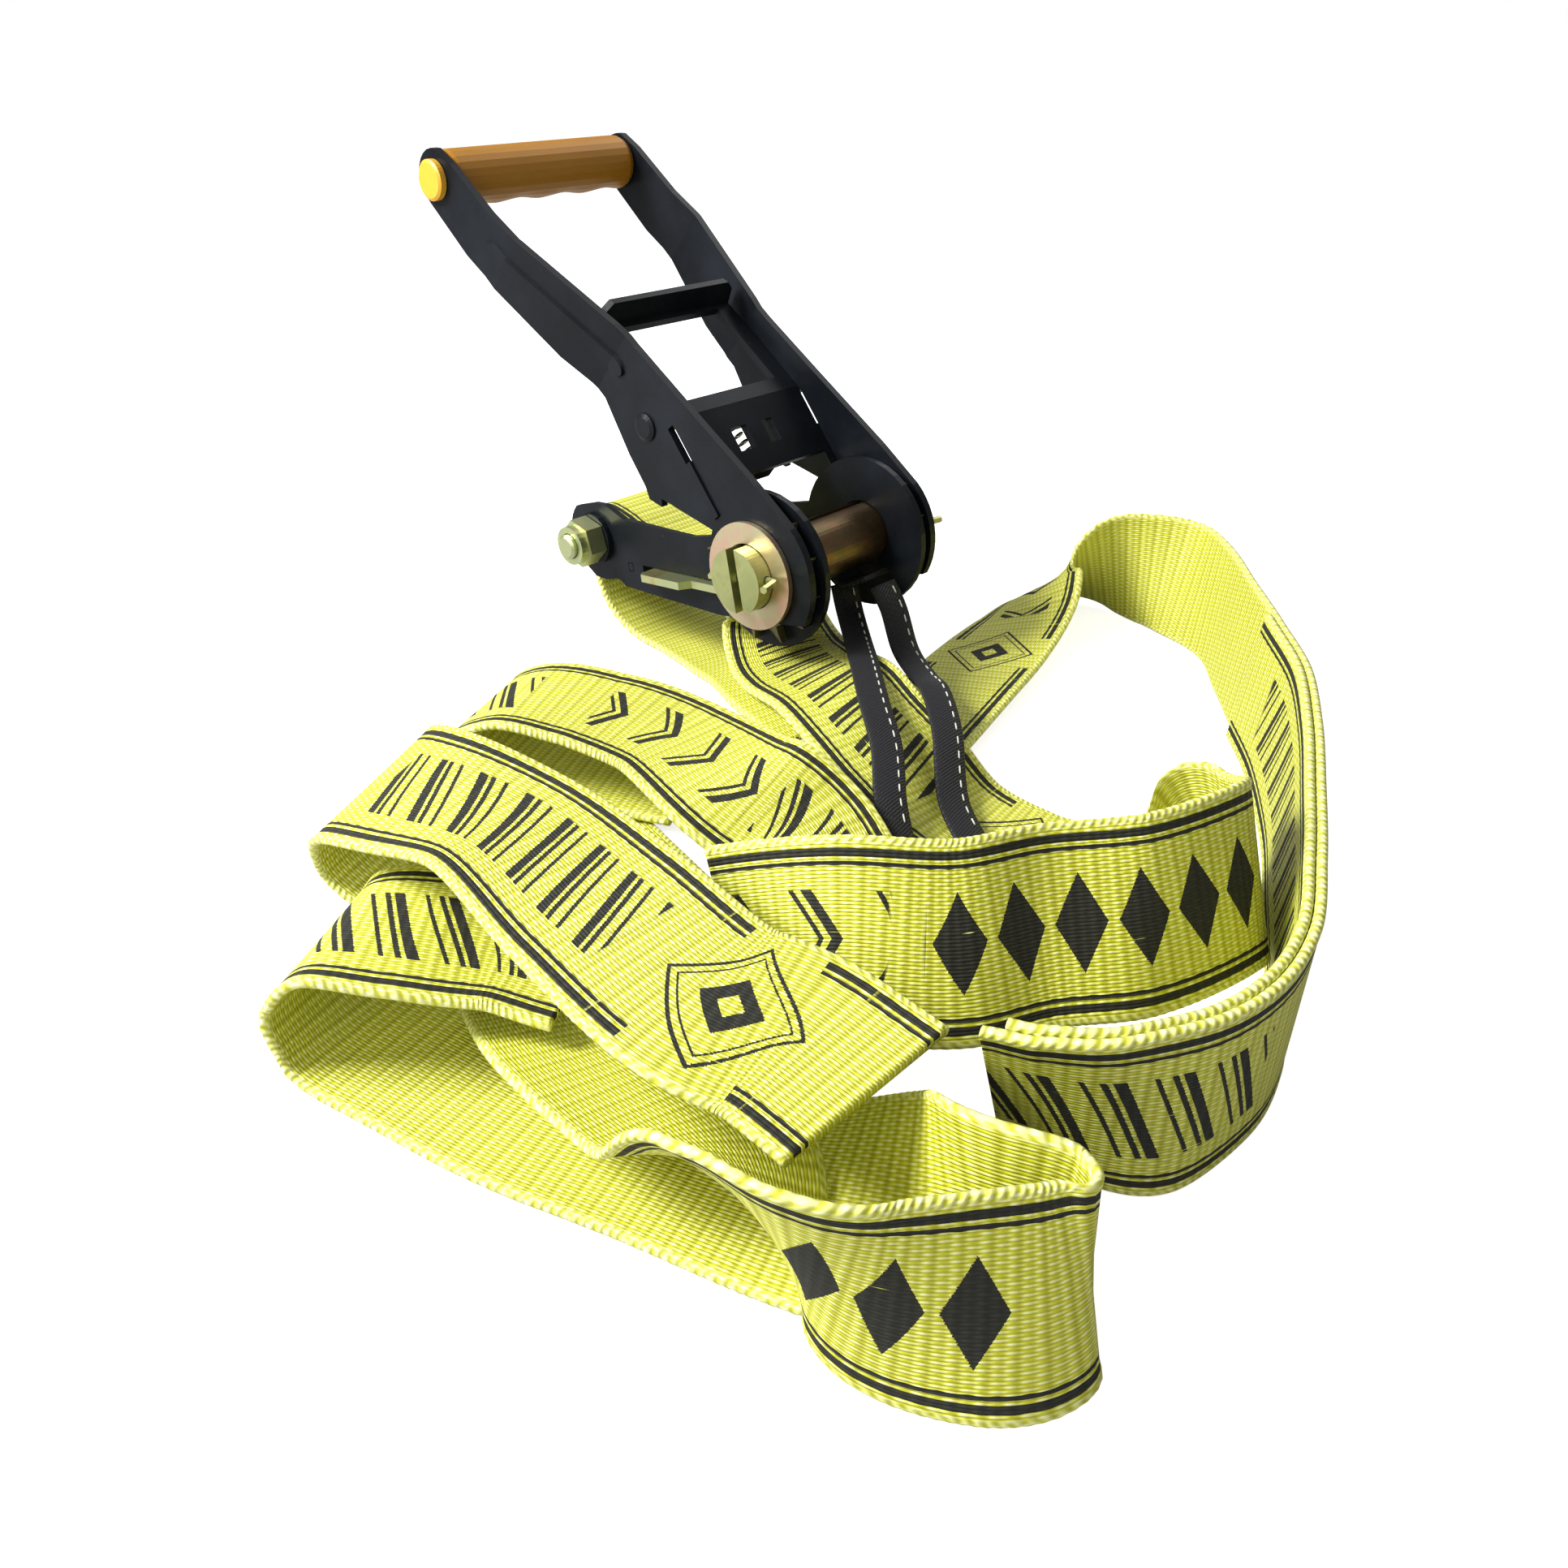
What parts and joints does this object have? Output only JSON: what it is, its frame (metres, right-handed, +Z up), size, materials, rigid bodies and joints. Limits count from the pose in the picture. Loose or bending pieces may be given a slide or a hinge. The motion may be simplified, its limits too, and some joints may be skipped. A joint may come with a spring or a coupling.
{
  "type": "slackline ratchet with webbing",
  "caption": "Long-handled ratchet with a split drum and two pawls, black strap through the drum, and wide flat webbing sewn round its tail bolt and lying in a loose pile",
  "frame": {"origin": "middle of the bounding box's base, on the floor the webbing lies on", "axes": "+X along the drum from the nut side to the bolt head side, +Y from the drum towards the tail bolt, +Z up"},
  "size_m": [0.4078, 0.4159, 0.1866],
  "materials": {
    "black_steel": "satin black paint",
    "zinc_yellow": "yellow-passivated zinc",
    "zinc_pink": "pinkish passivated zinc",
    "drum_bronze": "dark iridescent passivated zinc",
    "spring_steel": "bright spring wire",
    "amber_plastic": "satin moulded",
    "webbing": "woven fluorescent yellow polyester",
    "strap_black": "woven black polyester"
  },
  "bodies": {
    "base": {"frame_plate_near": "black_steel", "frame_plate_far": "black_steel", "frame_crossbar": "black_steel", "tail_bolt": "zinc_yellow", "tail_nut": "zinc_yellow", "tail_washer": "black_steel", "tail_sleeve": "black_steel", "lock_spring": "spring_steel", "web_sewn_lap": "webbing", "web_loop_top": "webbing", "web_bolt_loop": "webbing", "web_floor_run": "webbing", "web_twist_up": "webbing", "web_front_band": "webbing", "web_middle_fold": "webbing", "web_middle_tuck": "webbing", "web_low_band": "webbing", "web_ring_rise": "webbing", "web_ring_bend": "webbing", "web_side_run": "webbing", "web_end_bend": "webbing", "web_end_lap": "webbing", "web_left_top": "webbing", "web_left_roll": "webbing", "web_left_run": "webbing", "web_u_turn": "webbing", "web_under_run": "webbing", "web_cross_roll": "webbing", "web_cross_band": "webbing", "safety_strap_left": "strap_black", "safety_strap_right": "strap_black"},
    "handle": {"handle_plate_near": "black_steel", "handle_plate_far": "black_steel", "handle_cross_rod": "black_steel", "grip_sleeve": "amber_plastic", "grip_rod": "zinc_yellow", "grip_cap_near": "amber_plastic", "grip_cap_far": "amber_plastic", "pull_spring": "spring_steel"},
    "drum": {"drum_half_upper": "drum_bronze", "drum_half_lower": "drum_bronze", "toothed_wheel_near": "zinc_yellow", "toothed_wheel_far": "zinc_yellow", "drum_washer_near": "zinc_pink", "drum_washer_far": "zinc_pink", "split_pin_near": "zinc_yellow", "split_pin_far": "zinc_yellow", "safety_strap_bridge": "strap_black"},
    "pull_pawl": {"pull_pawl": "black_steel"},
    "lock_pawl": {"lock_pawl": "zinc_yellow"}
  },
  "joints": [
    {"name": "handle_hinge", "type": "hinge", "parent": "base", "child": "handle", "pos_m": [0.0598, 0.043, 0.055], "axis": [1, 0, 0], "range_deg": [-30, 120.1]},
    {"name": "drum_spin", "type": "hinge", "parent": "base", "child": "drum", "pos_m": [0.0598, 0.043, 0.055], "axis": [1, 0, 0], "continuous": true, "deforming": ["safety_strap_bridge"]},
    {"name": "pull_pawl_slide", "type": "slide", "parent": "handle", "child": "pull_pawl", "axis": [0, 0.6374, 0.7705], "range_m": [0, 0.014], "stiffness_N_per_m": 400, "springref_m": -0.012, "deforming": ["pull_spring"]},
    {"name": "lock_pawl_slide", "type": "slide", "parent": "base", "child": "lock_pawl", "axis": [0, 0.9934, -0.1149], "range_m": [0, 0.006], "stiffness_N_per_m": 400, "springref_m": -0.008, "deforming": ["lock_spring"]}
  ]
}
